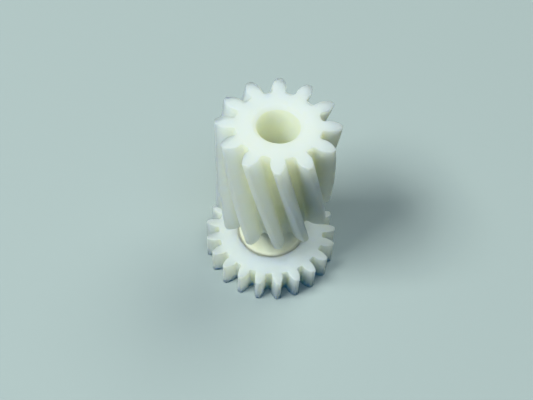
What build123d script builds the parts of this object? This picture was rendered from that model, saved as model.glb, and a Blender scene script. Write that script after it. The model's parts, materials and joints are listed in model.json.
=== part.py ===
"""Compound gear: a left-hand helical pinion, a plain neck and a larger spur gear around one through bore.

Frame: origin at the centre of the spur gear's lower face, +Z up along the bore, and +X through the middle of
a helical tooth at the top face. The pinion is the carrier: its spigot runs down through the neck sleeve and
the spur gear, which are pressed on to it from below.
"""

from build123d import *
import os
from math import acos, asin, atan, cos, degrees, pi, radians, sin, sqrt, tan

# Driving dimensions, in millimetres and degrees.
overall_height = 50.0
bore_diameter = 10.0
bore_chamfer = 1.0
end_chamfer = 0.25  # breaks the edges of the teeth at their ends

# Tooth proportions of the basic rack, in modules.
pressure_angle = 20.0
addendum = 1.0
dedendum = 1.25
root_fillet = 0.38
flank_points = 6  # points on the involute curve of one flank

pinion_teeth = 12
pinion_module = 2.0  # normal to the tooth
helix_angle = 15.0  # left-hand, at the pitch circle
pinion_width = 30.0
spigot_diameter = 13.5

neck_diameter = 16.0
neck_fillet = 1.0  # widens the neck's foot where it stands on the spur gear
foot_rim = 0.15  # height of the foot's edge, which would be a knife edge without it

spur_teeth = 21
spur_module = 1.5
spur_width = 8.0
spur_phase = 3.7  # from +X to the middle of the nearest spur tooth, counter-clockwise

# Heights that follow from them.
pinion_base = overall_height - pinion_width


def polar(radius, angle):
    """The point at this radius and at this angle in radians."""
    return Vector(radius * cos(angle), radius * sin(angle))


def involute(base_radius, radius):
    """Angle that the involute of the base circle has swept when it reaches this radius."""
    pressure = acos(base_radius / radius)
    return tan(pressure) - pressure


def gear_outline(teeth, module, helix=0.0, inset=0.0, turn=0.0):
    """Outline of an involute gear across its axis, moved inwards by inset and turned by turn degrees.

    A helical gear is given by its normal module, and one tooth is centred on +X before the turn.
    """
    pitch_radius = teeth * module / cos(radians(helix)) / 2
    transverse_pressure = atan(tan(radians(pressure_angle)) / cos(radians(helix)))
    base_radius = pitch_radius * cos(transverse_pressure)
    tip_radius = pitch_radius + addendum * module - inset
    root_radius = pitch_radius - dedendum * module - inset
    fillet_radius = root_fillet * module + inset

    # Half the tooth's angle at the base circle and at the tip, and the angle that the root fillet takes.
    half_base = pi / (2 * teeth) + involute(base_radius, pitch_radius) - inset / base_radius
    half_tip = half_base - involute(base_radius, tip_radius)
    fillet_angle = asin(fillet_radius / (root_radius + fillet_radius))
    fillet_top = sqrt((root_radius + fillet_radius) ** 2 - fillet_radius**2)
    half_root = half_base + fillet_angle

    step = (tip_radius - base_radius) / (flank_points - 1)
    flank_radii = [base_radius + i * step for i in range(flank_points)]

    edges = []
    tooth_pitch = 2 * pi / teeth
    for tooth in range(teeth):
        middle = tooth * tooth_pitch + radians(turn)
        gap_middle = middle - tooth_pitch / 2
        last_root = middle - tooth_pitch + half_root
        edges.append(
            ThreePointArc(
                polar(root_radius, last_root),
                polar(root_radius, gap_middle),
                polar(root_radius, middle - half_root),
            )
        )
        sides = {}
        for side in (-1, 1):
            root = polar(root_radius, middle + side * half_root)
            fillet_end = polar(fillet_top, middle + side * half_base)
            along_root = polar(1, middle + side * (half_root - pi / 2))
            curve = [
                polar(r, middle + side * (half_base - involute(base_radius, r))) for r in flank_radii
            ]
            sides[side] = [
                TangentArc(root, fillet_end, tangent=along_root),
                Line(fillet_end, curve[0]),
                Spline(*curve),
            ]
        tip = ThreePointArc(
            polar(tip_radius, middle - half_tip),
            polar(tip_radius, middle),
            polar(tip_radius, middle + half_tip),
        )
        edges += [*sides[-1], tip, *reversed(sides[1])]
    return Wire([edge for curve in edges for edge in curve.edges()])


def twist_over(length):
    """Angle in degrees that a pinion tooth turns over this length of face: clockwise going up."""
    pitch_radius = pinion_teeth * pinion_module / cos(radians(helix_angle)) / 2
    return -degrees(length * tan(radians(helix_angle)) / pitch_radius)


def tooth_end(outline_at, low, high, low_inset, high_inset):
    """Short bevelled stretch at the end of the teeth, between two outlines."""
    wires = [
        outline_at(low, low_inset).moved(Location((0, 0, low))),
        outline_at(high, high_inset).moved(Location((0, 0, high))),
    ]
    return Solid.make_loft(wires, ruled=True)


def toothed_body(outline_at, low, high, middle_of):
    """Gear teeth between two heights with a small bevel at both ends."""
    body_low = low + end_chamfer
    body_high = high - end_chamfer
    return (
        Part(tooth_end(outline_at, low, body_low, end_chamfer, 0).wrapped)
        + middle_of(body_low, body_high)
        + tooth_end(outline_at, body_high, high, 0, end_chamfer)
    )


def cylinder(diameter, low, high):
    """Upright cylinder on the axis between two heights."""
    return Pos(0, 0, (low + high) / 2) * Cylinder(diameter / 2, high - low)


def bore():
    """The through bore, with a chamfer at each mouth."""
    wide = bore_diameter / 2 + bore_chamfer
    narrow = bore_diameter / 2
    half = bore_chamfer / 2
    return (
        cylinder(bore_diameter, 0, overall_height)
        + Pos(0, 0, half) * Cone(wide, narrow, bore_chamfer)
        + Pos(0, 0, overall_height - half) * Cone(narrow, wide, bore_chamfer)
    )


def helical_pinion():
    """Left-hand helical pinion with the long spigot that carries the other pieces."""

    def outline_at(height, inset):
        turn = twist_over(height - overall_height)
        return gear_outline(pinion_teeth, pinion_module, helix_angle, inset, turn)

    def twisted(low, high):
        section = Face(outline_at(low, 0).moved(Location((0, 0, low))))
        centre = Vector(0, 0, low)
        return Solid.extrude_linear_with_rotation(
            section, centre, Vector(0, 0, high - low), twist_over(high - low)
        )

    teeth = toothed_body(outline_at, pinion_base, overall_height, twisted)
    spigot = cylinder(spigot_diameter, 0, pinion_base)
    return teeth + spigot - bore()


def neck_sleeve():
    """Plain sleeve that keeps the two gears apart, with a fillet round its foot."""
    fillet_top = spur_width + foot_rim + neck_fillet
    foot = cylinder(neck_diameter + 2 * neck_fillet, spur_width, fillet_top)
    foot -= Pos(0, 0, fillet_top) * Torus(neck_diameter / 2 + neck_fillet, neck_fillet)
    sleeve = cylinder(neck_diameter, spur_width, pinion_base) + foot
    return sleeve - cylinder(spigot_diameter, spur_width, pinion_base)


def spur_gear():
    """Straight-toothed gear, pressed on to the end of the spigot."""

    def outline_at(height, inset):
        return gear_outline(spur_teeth, spur_module, 0, inset, spur_phase)

    def straight(low, high):
        section = Face(outline_at(low, 0).moved(Location((0, 0, low))))
        return extrude(section, high - low)

    teeth = toothed_body(outline_at, 0, spur_width, straight)
    return teeth - cylinder(spigot_diameter, 0, spur_width)


os.makedirs("parts", exist_ok=True)
for piece in (helical_pinion, neck_sleeve, spur_gear):
    export_step(piece(), f"parts/{piece.__name__}.step")
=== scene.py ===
"""Looks of a compound gear in natural nylon: a helical pinion, a plain neck and a spur gear.

Each CAD node is replaced by a closed mesh of the same size with rounder edges. Its rings of points run up
the outer wall, inwards over the top, down the bore and outwards over the lower face. Lengths are in
millimetres until a mesh is made, and in metres in the meshes, the lights and the floor.
"""

import json
from math import acos, atan, atan2, cos, degrees, pi, radians, sin, tan

import bpy
from mathutils import Matrix, Vector


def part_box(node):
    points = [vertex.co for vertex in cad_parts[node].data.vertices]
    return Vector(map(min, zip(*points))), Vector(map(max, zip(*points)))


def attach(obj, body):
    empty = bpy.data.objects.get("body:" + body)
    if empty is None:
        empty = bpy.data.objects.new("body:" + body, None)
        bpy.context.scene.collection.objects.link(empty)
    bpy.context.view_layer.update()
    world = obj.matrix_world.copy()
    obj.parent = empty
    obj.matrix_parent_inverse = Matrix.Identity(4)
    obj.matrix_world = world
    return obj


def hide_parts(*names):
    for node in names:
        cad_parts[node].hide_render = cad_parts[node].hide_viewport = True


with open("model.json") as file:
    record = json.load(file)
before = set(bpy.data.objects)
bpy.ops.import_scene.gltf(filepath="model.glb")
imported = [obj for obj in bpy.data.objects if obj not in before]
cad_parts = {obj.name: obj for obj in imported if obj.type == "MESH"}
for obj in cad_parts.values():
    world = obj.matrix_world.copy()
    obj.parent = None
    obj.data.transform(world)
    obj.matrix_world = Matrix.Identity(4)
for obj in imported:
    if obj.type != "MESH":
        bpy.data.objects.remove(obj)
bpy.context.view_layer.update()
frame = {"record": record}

MM = 0.001

# Sizes that follow from the frame.
bore_mount = next(mount for mount in frame["record"]["mounts"] if mount["name"] == "shaft_bore")
total_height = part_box("helical_pinion")[1][2] / MM
pinion_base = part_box("neck_sleeve")[1][2] / MM
foot_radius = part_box("neck_sleeve")[1][0] / MM
spur_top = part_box("spur_gear")[1][2] / MM
bore_radius = bore_mount["dims"]["r_mm"]
bore_chamfer = (total_height - bore_mount["dims"]["length_mm"]) / 2

# Neck and spigot, as in the design.
NECK_RADIUS = 8.0
SPIGOT_RADIUS = 6.75
FOOT_RIM = 0.04  # thinner than in the design, where it is 0.15, so that its edge catches less light

# Gear teeth, as in the design. Angles are in degrees, and turn is that of the tooth nearest +X.
PRESSURE_ANGLE = 20.0
ADDENDUM = 1.0
DEDENDUM = 1.25
ROOT_FILLET = 0.38
PINION = {"teeth": 12, "module": 2.0, "helix": 15.0, "turn": 0.0}
SPUR = {"teeth": 21, "module": 1.5, "helix": 0.0, "turn": 3.7}

# Softening of the edges.
END_ROUND = 0.3  # where the teeth meet their end faces
TIP_ROUND = 0.28  # where a flank meets the tip
MOUTH_ROUND = 0.8  # where the bore's chamfer meets the wall and the end face
SEAM_ROUND = 0.1  # round the joints between the pieces
SEAM_GAP = 0.02

# How finely the outline of half a tooth is divided.
GAP_STEPS = 3
FILLET_STEPS = 6
FLANK_STEPS = 10
TIP_STEPS = 4
CAP_COLUMNS = 4  # across the end of a tooth: the tip's own points make this many steps

# How finely the rest is divided.
ROUND_STEPS = 5
PINION_LEVELS = 30
SPUR_LEVELS = 6
BORE_LEVELS = 24
NECK_COLUMNS = 144
PINION_FACE_RING = 8.4  # radius of the one ring between the teeth and the bore's mouth
SPUR_FACE_RINGS = (12.5, 11, 9.5, 8)

# Plastic, as looks: the colours of end faces, of walls at the tips and at the roots of the teeth, and the
# length in millimetres that light scatters over, with its share for red, green and blue. The wall colours are
# painted light and shade on one plastic: cooler at the tips, darker and yellower at the roots. The renderer
# takes 1 / (4 pi) of that length as the light's free path.
GEAR_LOOKS = {
    "ends": (0.965, 0.965, 0.89, 1),
    "tips": (0.905, 0.955, 0.91, 1),
    "roots": (0.83, 0.84, 0.7, 1),
    "scatter": 20,
    "scatter_by_colour": (1, 0.9, 0.6),
}
# The neck's wall is thin, and the renderer loses light in the seam behind it, so it scatters less.
# Darker and yellower than the gears as painted shade under the pinion.
NECK_SHADED_COLOUR = (0.85, 0.85, 0.745, 1)
NECK_LOOKS = {
    "ends": NECK_SHADED_COLOUR,
    "tips": NECK_SHADED_COLOUR,
    "roots": NECK_SHADED_COLOUR,
    "scatter": 1.5,
    "scatter_by_colour": (0.85, 0.88, 1),
}
# Brighter and yellower than the walls as a painted glow of light through the plastic into the bore.
BORE_GLOW_COLOUR = (0.98, 0.97, 0.73, 1)
CLOUD_COLOUR = (0.93, 0.93, 0.82, 1)
CLOUD_SHARE = 0.4  # of that colour in the middle of a cloud
IOR = 1.5
WAVE_LENGTH = pi / 10  # of a wave texture whose scale is 1

# Sizes of the marks and clouds across the surface, and depths of the marks, in millimetres.
CLOUD_SIZE = 5
GRAIN_SIZE, GRAIN_DEPTH = 0.35, 0.009
RIPPLE_SIZE, RIPPLE_DEPTH = 0.5, 0.03  # on the walls
SWELL_SIZE, SWELL_DEPTH = 2.5, 0.05
RING_PITCH, RING_DEPTH = 0.45, 0.004  # turning rings on the end faces
SCALLOP_PITCH, SCALLOP_DEPTH = 1.1, 0.003  # cutter marks on the walls

# Floor, lights and surroundings, in metres.
FLOOR_REACH = 1.6
FLOOR_COLOUR = (0.36, 0.4, 0.44, 1)
LAMP_DISTANCE = 2.0
GLOW_SIZE = 1.2
GLOW_DEPTH = 0.03
BACKDROP_COLOUR = (0.42, 0.5, 0.5, 1)


class Skin:
    """A mesh in the making: rings of points with their normals, joined by strips of faces."""

    def __init__(self):
        self.points = []
        self.normals = []
        self.faces = []

    def add(self, point, normal):
        self.points.append(point * MM)
        self.normals.append(normal.normalized())
        return len(self.points) - 1

    def ring(self, places):
        return [self.add(point, normal) for point, normal in places]

    def join(self, ring, next_ring):
        """Quads from one ring to the next, which face outwards on the way up."""
        after = ring[1:] + ring[:1]
        next_after = next_ring[1:] + next_ring[:1]
        self.faces += list(zip(ring, after, next_after, next_ring))

    def join_all(self, rings):
        for ring, next_ring in zip(rings, rings[1:]):
            self.join(ring, next_ring)

    def finish(self, name):
        mesh = bpy.data.meshes.new(name)
        mesh.from_pydata(self.points, [], self.faces)
        mesh.shade_smooth()
        mesh.normals_split_custom_set_from_vertices(self.normals)
        piece = bpy.data.objects.new(name, mesh)
        bpy.context.scene.collection.objects.link(piece)
        return piece


def involute(base, radius):
    """Angle that the involute of the base circle has swept when it reaches this radius."""
    pressure = acos(min(1.0, base / radius))
    return tan(pressure) - pressure


def half_tooth(gear, inset):
    """Half a tooth as (radius, angle from its middle), from the middle of the gap to near the tip's middle."""
    teeth, module, helix = gear["teeth"], gear["module"], radians(gear["helix"])
    pitch = teeth * module / cos(helix) / 2
    base = pitch * cos(atan(tan(radians(PRESSURE_ANGLE)) / cos(helix)))
    tip = pitch + ADDENDUM * module - inset
    root = pitch - DEDENDUM * module - inset
    fillet = ROOT_FILLET * module + inset
    half_base = pi / (2 * teeth) + involute(base, pitch) - inset / base
    centre = root + fillet
    half_root = half_base + fillet / centre
    gap = pi / teeth

    half = [(root, gap + (half_root - gap) * i / GAP_STEPS) for i in range(GAP_STEPS)]
    for i in range(FILLET_STEPS):
        swing = pi / 2 * i / FILLET_STEPS
        radius = centre - fillet * cos(swing)
        half.append((radius, half_root - fillet * sin(swing) / radius))
    flank_top = tip - TIP_ROUND
    for i in range(FLANK_STEPS):
        radius = base + (flank_top - base) * i / (FLANK_STEPS - 1)
        half.append((radius, half_base - involute(base, radius)))

    # A smooth curve from the flank's top, past the sharp corner, to the land.
    start = half[-1]
    corner = half_base - involute(base, tip)
    land = corner - TIP_ROUND / tip
    for i in range(1, TIP_STEPS + 1):
        t = i / TIP_STEPS
        before, at, after = (1 - t) ** 2, 2 * t * (1 - t), t * t
        half.append((before * start[0] + (at + after) * tip, before * start[1] + at * corner + after * land))
    half.append((tip, land / 2))
    return half


def outline(gear, inset, turn):
    """The gear's outline across its axis, counter-clockwise, as (radius, angle), moved inwards by inset."""
    half = half_tooth(gear, inset)
    tip = half[-1][0]
    points = []
    for tooth in range(gear["teeth"]):
        middle = radians(gear["turn"] + turn) + 2 * pi * tooth / gear["teeth"]
        points += [(radius, middle - angle) for radius, angle in half]
        points.append((tip, middle))
        points += [(radius, middle + angle) for radius, angle in reversed(half[1:])]
    return points


def at(radius, angle, height):
    return Vector((radius * cos(angle), radius * sin(angle), height))


def wall_places(gear, inset, turn, turn_rate, height, lift):
    """Points of one ring of the toothed wall with their normals.

    turn_rate is how far the teeth turn for each millimetre upwards, in radians, and lift is how far the
    rounded edge has turned the normal from the wall towards +Z, in radians.
    """
    points = [at(radius, angle, height) for radius, angle in outline(gear, inset, turn)]
    places = []
    for before, point, after in zip(points[-1:] + points[:-1], points, points[1:] + points[:1]):
        back, forth = point - before, after - point
        along = back.normalized() * forth.length + forth.normalized() * back.length
        upwards = Vector((-point.y * turn_rate, point.x * turn_rate, 1))
        outwards = along.cross(upwards).normalized()
        places.append((point, outwards * cos(lift) + Vector((0, 0, sin(lift)))))
    return places


def toothed_wall(skin, gear, low, high, levels, turn_at, turn_rate):
    """Rings up the toothed wall, with rounded edges at both ends."""
    quarter = [pi / 2 * i / ROUND_STEPS for i in range(ROUND_STEPS + 1)]
    stations = [(low + END_ROUND * (1 - sin(a)), END_ROUND * (1 - cos(a)), -a) for a in reversed(quarter)]
    plain = high - low - 2 * END_ROUND
    stations += [(low + END_ROUND + plain * i / levels, 0, 0) for i in range(1, levels)]
    stations += [(high - END_ROUND * (1 - sin(a)), END_ROUND * (1 - cos(a)), a) for a in quarter]
    rings = [skin.ring(wall_places(gear, inset, turn_at(z), turn_rate, z, lift)) for z, inset, lift in stations]
    skin.join_all(rings)
    return rings[0], rings[-1]


def tooth_caps(skin, gear, ring, height, turn, up):
    """Ends of the teeth as small grids, and the ring that is left round the body of the gear."""
    half = half_tooth(gear, END_ROUND)
    count = 2 * len(half)
    first = GAP_STEPS + FILLET_STEPS
    land = len(half) - 2
    body = []
    for tooth in range(gear["teeth"]):
        own = ring[tooth * count : (tooth + 1) * count]
        middle = radians(gear["turn"] + turn) + 2 * pi * tooth / gear["teeth"]
        rows = []
        for i in range(first, land):
            radius, angle = half[i]
            across = [middle + angle * (2 * j / CAP_COLUMNS - 1) for j in range(1, CAP_COLUMNS)]
            inner = [skin.add(at(radius, a, height), Vector((0, 0, up))) for a in across]
            rows.append([own[i], *inner, own[count - i]])
        rows.append(own[land : count - land + 1])
        for row, next_row in zip(rows, rows[1:]):
            for j in range(CAP_COLUMNS):
                quad = (row[j], next_row[j], next_row[j + 1], row[j + 1])
                skin.faces.append(quad if up > 0 else quad[::-1])
        body += [*own[:first], *rows[0], *own[count - first + 1 :]]
    return body


def angles_of(skin, ring):
    return [atan2(skin.points[i].y, skin.points[i].x) for i in ring]


def bend(centre_radius, centre_height, radius, start, end, concave=False):
    """Round stretch of a lathe profile, from one angle of its normal to another, in degrees above outwards.

    A profile is a list of (radius, height, angle of the normal), and its straight stretches have no points.
    """
    side = -1 if concave else 1
    steps = [radians(start + (end - start) * i / ROUND_STEPS) for i in range(ROUND_STEPS + 1)]
    return [
        (centre_radius + side * radius * cos(a), centre_height + side * radius * sin(a), a) for a in steps
    ]


def lathe(skin, profile, angles, turn_at=lambda height: 0):
    """Rings of a turned surface, one for each point of the profile, at these angles round the axis."""
    rings = []
    for radius, height, tilt in profile:
        turned = [angle + turn_at(height) for angle in angles]
        rings.append(skin.ring([(at(radius, a, height), at(cos(tilt), a, sin(tilt))) for a in turned]))
    skin.join_all(rings)
    return rings


def pinion_turn(height):
    """Turn of the pinion's teeth in degrees: clockwise going up, and none at the top."""
    return -degrees(pinion_turn_rate() * (total_height - max(height, pinion_base)))


def pinion_turn_rate():
    """Turn of the pinion's teeth for each millimetre upwards, in radians."""
    helix = radians(PINION["helix"])
    return -tan(helix) * 2 * cos(helix) / (PINION["teeth"] * PINION["module"])


def bore_profile():
    """From the upper end face down through the bore to the lower one."""
    blend = MOUTH_ROUND * tan(radians(45 / 2))  # from a corner of the 45-degree chamfer to the rounding's end
    wide = bore_radius + bore_chamfer
    upper = bend(wide + blend, total_height - MOUTH_ROUND, MOUTH_ROUND, 90, 135)
    upper += bend(bore_radius + MOUTH_ROUND, total_height - bore_chamfer - blend, MOUTH_ROUND, 135, 180)
    lower = [(radius, total_height - height, -tilt) for radius, height, tilt in reversed(upper)]
    top, bottom = upper[-1][1], lower[0][1]
    wall = [(bore_radius, top + (bottom - top) * i / BORE_LEVELS, pi) for i in range(1, BORE_LEVELS)]
    return upper + wall + lower


def make_pinion():
    skin = Skin()
    wall_low, wall_high = toothed_wall(
        skin, PINION, pinion_base, total_height, PINION_LEVELS, pinion_turn, pinion_turn_rate()
    )
    under = tooth_caps(skin, PINION, wall_low, pinion_base, pinion_turn(pinion_base), -1)
    over = tooth_caps(skin, PINION, wall_high, total_height, 0, 1)

    bore = lathe(skin, bore_profile(), angles_of(skin, over), lambda z: radians(pinion_turn(z)))
    face = lathe(skin, [(PINION_FACE_RING, total_height, pi / 2)], angles_of(skin, over))
    skin.join_all([over, face[0], bore[0]])

    spigot_profile = bend(SPIGOT_RADIUS - SEAM_ROUND, SEAM_ROUND, SEAM_ROUND, -90, 0)
    spigot_profile += bend(SPIGOT_RADIUS + SEAM_ROUND, pinion_base - SEAM_ROUND, SEAM_ROUND, 0, -90, True)
    spigot = lathe(skin, spigot_profile, angles_of(skin, under))
    skin.join(bore[-1], spigot[0])
    skin.join(spigot[-1], under)
    return skin.finish("helical_pinion_body")


def make_neck():
    skin = Skin()
    seat = SPIGOT_RADIUS + SEAM_GAP
    low, high = spur_top + SEAM_GAP, pinion_base - SEAM_GAP
    edge = FOOT_RIM / 3
    relief = 2 * SEAM_ROUND
    rim_top = spur_top + FOOT_RIM
    fillet = foot_radius - edge - NECK_RADIUS
    profile = bend(foot_radius - edge, low + edge, edge, -90, 0)
    profile += bend(foot_radius - edge, rim_top - edge, edge, 0, 90)
    profile += bend(foot_radius - edge, rim_top + fillet, fillet, 90, 0, True)
    profile += bend(NECK_RADIUS - edge, high - edge, edge, 0, 90)
    profile += bend(seat + relief, high - relief, relief, 90, 180)
    profile += bend(seat + edge, low + edge, edge, 180, 270)
    rings = lathe(skin, profile, [2 * pi * i / NECK_COLUMNS for i in range(NECK_COLUMNS)])
    skin.join(rings[-1], rings[0])
    return skin.finish("neck_sleeve_body")


def make_spur():
    skin = Skin()
    wall_low, wall_high = toothed_wall(skin, SPUR, 0, spur_top, SPUR_LEVELS, lambda height: 0, 0)
    under = tooth_caps(skin, SPUR, wall_low, 0, 0, -1)
    over = tooth_caps(skin, SPUR, wall_high, spur_top, 0, 1)
    seat = SPIGOT_RADIUS + SEAM_GAP + SEAM_ROUND
    profile = [(radius, spur_top, pi / 2) for radius in SPUR_FACE_RINGS]
    profile += bend(seat, spur_top - SEAM_ROUND, SEAM_ROUND, 90, 180)
    profile += bend(seat, SEAM_ROUND, SEAM_ROUND, 180, 270)
    profile += [(radius, 0, -pi / 2) for radius in reversed(SPUR_FACE_RINGS)]
    rings = lathe(skin, profile, angles_of(skin, over))
    skin.join(over, rings[0])
    skin.join(rings[-1], under)
    return skin.finish("spur_gear_body")


class Material:
    """A material in the making, with short ways to add its nodes."""

    def __init__(self, name):
        self.material = bpy.data.materials.new(name)
        self.material.use_nodes = True
        self.shader = self.material.node_tree.nodes["Principled BSDF"]
        self.place = self.new("ShaderNodeTexCoord").outputs["Object"]

    def feed(self, socket, value):
        """Link another node's output to a socket, or set a plain value on it."""
        if isinstance(value, bpy.types.NodeSocket):
            self.material.node_tree.links.new(value, socket)
        else:
            socket.default_value = value

    def new(self, kind, inputs=(), **settings):
        node = self.material.node_tree.nodes.new(kind)
        for name, value in settings.items():
            setattr(node, name, value)
        for key, value in dict(inputs).items():
            self.feed(node.inputs[key], value)
        return node

    def math(self, operation, *values):
        return self.new("ShaderNodeMath", enumerate(values), operation=operation).outputs[0]

    def vector_math(self, operation, *values):
        return self.new("ShaderNodeVectorMath", enumerate(values), operation=operation).outputs

    def noise(self, size, detail, distortion=0.0):
        """Noise whose features are about this many millimetres across."""
        inputs = {"Vector": self.place, "Scale": 1 / (size * MM), "Detail": detail, "Distortion": distortion}
        return self.new("ShaderNodeTexNoise", inputs).outputs["Fac"]

    def stripes(self, pitch, raggedness, **settings):
        """Grooves at this pitch in millimetres, a little wavy."""
        inputs = {"Vector": self.place, "Scale": WAVE_LENGTH / (pitch * MM), "Distortion": 1.2, "Detail": 2}
        inputs["Detail Scale"] = raggedness
        return self.new("ShaderNodeTexWave", inputs, **settings).outputs["Fac"]

    def levels(self, value, low, high, to_low, to_high):
        """The value moved from one range to another, and held within it."""
        inputs = {"Value": value, "From Min": low, "From Max": high, "To Min": to_low, "To Max": to_high}
        return self.new("ShaderNodeMapRange", inputs).outputs["Result"]

    def mixed(self, share, colour, other):
        """This share of the other colour in the first one."""
        mix = self.new("ShaderNodeMix", {"Factor": share}, data_type="RGBA")
        first, second, result = mix.inputs[6], mix.inputs[7], mix.outputs[2]  # those for colours
        self.feed(first, colour)
        self.feed(second, other)
        return result


def nylon(name, root, tip, looks):
    """Natural nylon: off-white and satin, with light that travels under the surface.

    Walls are painted cooler at the teeth's tips and darker and yellower at their roots, which lie at these
    radii in millimetres, as painted light and shade on one plastic, and the bore is painted brighter and
    yellower as a glow of light through the plastic. The end faces show turning rings, and the walls cutter
    marks.
    """
    plastic = Material(name)
    inputs = plastic.shader.inputs
    inputs["Subsurface Weight"].default_value = 1.0
    inputs["Subsurface Radius"].default_value = looks["scatter_by_colour"]
    inputs["Subsurface Scale"].default_value = looks["scatter"] * MM
    inputs["IOR"].default_value = IOR

    # How far a place faces up or down: 1 on the end faces and 0 on the walls.
    normal = plastic.new("ShaderNodeNewGeometry").outputs["Normal"]
    upwards = plastic.new("ShaderNodeSeparateXYZ", {"Vector": normal}).outputs["Z"]
    slope = plastic.math("ABSOLUTE", upwards)
    on_end = plastic.levels(slope, 0.93, 0.99, 0, 1)
    on_wall = plastic.levels(slope, 0.3, 0.6, 1, 0)

    flat = plastic.vector_math("MULTIPLY", plastic.place, (1, 1, 0))["Vector"]
    from_axis = plastic.vector_math("LENGTH", flat)["Value"]
    # Painted light and shade on the walls: darker and yellower towards the roots, cooler towards the tips, and
    # a painted glow in the bore.
    root_shade_share = plastic.levels(from_axis, root * MM, tip * MM, 1, 0)
    bore_glow_share = plastic.levels(from_axis, (bore_radius + 0.4) * MM, (bore_radius + 1.4) * MM, 1, 0)
    walls = plastic.mixed(bore_glow_share, plastic.mixed(root_shade_share, looks["tips"], looks["roots"]), BORE_GLOW_COLOUR)
    plain = plastic.mixed(on_wall, looks["ends"], walls)
    clouds = plastic.levels(plastic.noise(CLOUD_SIZE, 4, 0.4), 0.35, 0.65, 0, CLOUD_SHARE)
    plastic.feed(inputs["Base Color"], plastic.mixed(clouds, plain, CLOUD_COLOUR))

    grain = plastic.noise(GRAIN_SIZE, 3)
    plastic.feed(inputs["Roughness"], plastic.levels(grain, 0.3, 0.7, 0.46, 0.6))

    rings = plastic.stripes(RING_PITCH, 1 / 3, wave_type="RINGS", rings_direction="Z")
    scallops = plastic.stripes(SCALLOP_PITCH, 1 / 6, wave_type="BANDS", bands_direction="Z")
    marks = (
        (rings, RING_DEPTH, on_end),
        (scallops, SCALLOP_DEPTH, on_wall),
        (plastic.noise(RIPPLE_SIZE, 3, 0.3), RIPPLE_DEPTH, on_wall),
        (grain, GRAIN_DEPTH, 1),
        (plastic.noise(SWELL_SIZE, 2), SWELL_DEPTH, 1),
    )
    height = 0
    for mark, depth, share in marks:
        part = plastic.math("MULTIPLY", plastic.math("MULTIPLY", mark, depth * MM), share)
        height = plastic.math("ADD", part, height)
    bump = plastic.new("ShaderNodeBump", {"Height": height, "Strength": 1.0, "Distance": 1.0})
    plastic.feed(inputs["Normal"], bump.outputs["Normal"])
    return plastic.material


def make_floor():
    """Plain pale floor. It gives back no light, and the glow from below stands for that."""
    reach = FLOOR_REACH
    mesh = bpy.data.meshes.new("floor")
    corners = [(-reach, -reach, 0), (reach, -reach, 0), (reach, reach, 0), (-reach, reach, 0)]
    mesh.from_pydata(corners, [], [(0, 1, 2, 3)])
    floor = bpy.data.objects.new("floor", mesh)
    bpy.context.scene.collection.objects.link(floor)
    material = bpy.data.materials.new("floor")
    material.use_nodes = True
    shader = material.node_tree.nodes["Principled BSDF"]
    shader.inputs["Base Color"].default_value = FLOOR_COLOUR
    shader.inputs["Roughness"].default_value = 0.9
    mesh.materials.append(material)
    floor.visible_diffuse = False
    floor.visible_shadow = False


def add_lamp(name, light):
    lamp = bpy.data.objects.new(name, light)
    bpy.context.scene.collection.objects.link(lamp)
    return lamp


def add_softbox(name, azimuth, elevation, width, height, brightness, colour):
    """Light that looks at the object from this compass angle and elevation, in degrees.

    Brightness is how bright the light alone makes a white sheet that lies on the floor.
    """
    a, e = radians(azimuth), radians(elevation)
    light = bpy.data.lights.new(name, "AREA")
    light.shape = "RECTANGLE"
    light.size = width
    light.size_y = height
    light.energy = brightness * (pi * LAMP_DISTANCE) ** 2 / sin(e)
    light.color = colour
    lamp = add_lamp(name, light)
    out = Vector((cos(a) * cos(e), sin(a) * cos(e), sin(e)))
    aim = Vector((0, 0, total_height * MM / 2))
    lamp.location = aim + out * LAMP_DISTANCE
    lamp.rotation_euler = out.to_track_quat("Z", "Y").to_euler()


def add_glow(brightness, colour):
    """Weak light from all over the floor, like that of a coloured mat under the object."""
    light = bpy.data.lights.new("mat_glow", "AREA")
    light.size = GLOW_SIZE
    light.energy = brightness * pi * GLOW_SIZE**2
    light.color = colour
    lamp = add_lamp("mat_glow", light)
    lamp.location = (0, 0, -GLOW_DEPTH)
    lamp.rotation_euler = (pi, 0, 0)


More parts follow.
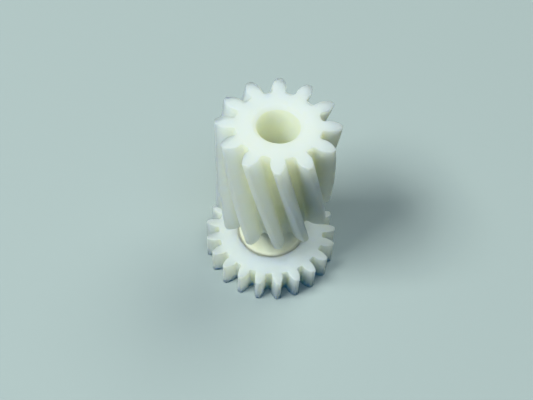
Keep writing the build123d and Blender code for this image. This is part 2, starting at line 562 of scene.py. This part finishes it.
def make_backdrop():
    """Pale surroundings beyond the floor, which light nothing themselves."""
    world = bpy.data.worlds.new("backdrop")
    bpy.context.scene.world = world
    world.use_nodes = True
    background = world.node_tree.nodes["Background"]
    background.inputs["Color"].default_value = BACKDROP_COLOUR
    world.cycles_visibility.diffuse = False
    world.cycles_visibility.transmission = False
    world.cycles_visibility.scatter = False


def make_camera():
    """Camera that looks down on the gear, almost along +Y. Its lengths are in millimetres.

    Aside and above say where the origin lies from the middle of the picture, at the object.
    """
    elevation, azimuth, roll = radians(53.739), radians(-1.22), radians(3.581)
    lens, sensor_width, distance = 52.31, 36, 214.178
    aside, above = 0.897, -12.364
    back = Vector((sin(azimuth) * cos(elevation), -cos(azimuth) * cos(elevation), sin(elevation)))
    level = Vector((cos(azimuth), sin(azimuth), 0))
    upright = back.cross(level)
    right = cos(roll) * level + sin(roll) * upright
    up = cos(roll) * upright - sin(roll) * level
    data = bpy.data.cameras.new("camera")
    data.lens = lens
    data.sensor_width = sensor_width
    data.clip_start, data.clip_end = 0.01, 10
    camera = bpy.data.objects.new("camera", data)
    bpy.context.scene.collection.objects.link(camera)
    place = (back * distance - right * aside - up * above) * MM
    camera.matrix_world = Matrix.Translation(place) @ Matrix((right, up, back)).transposed().to_4x4()
    bpy.context.scene.camera = camera


pieces = (
    (make_pinion(), "helical_pinion", nylon("nylon_pinion", 10.5, 13, GEAR_LOOKS)),
    (make_neck(), "neck_sleeve", nylon("nylon_neck", 9, 10, NECK_LOOKS)),
    (make_spur(), "spur_gear", nylon("nylon_spur", 14.3, 16.5, GEAR_LOOKS)),
)
for piece, node, plastic in pieces:
    piece.data.materials.append(plastic)
    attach(piece, "root")
    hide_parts(node)

make_floor()
add_softbox("key", 203, 52, width=0.9, height=0.6, brightness=0.9, colour=(0.9, 1, 0.87))
add_softbox("front_fill", 282, 66, width=1.6, height=1, brightness=0.3, colour=(0.72, 0.9, 1))
add_softbox("back_fill", 45, 55, width=1.3, height=1, brightness=0.42, colour=(0.9, 1, 0.82))
add_glow(brightness=0.09, colour=(0.15, 0.6, 1))
make_backdrop()
make_camera()
bpy.context.scene.view_settings.view_transform = "Khronos PBR Neutral"
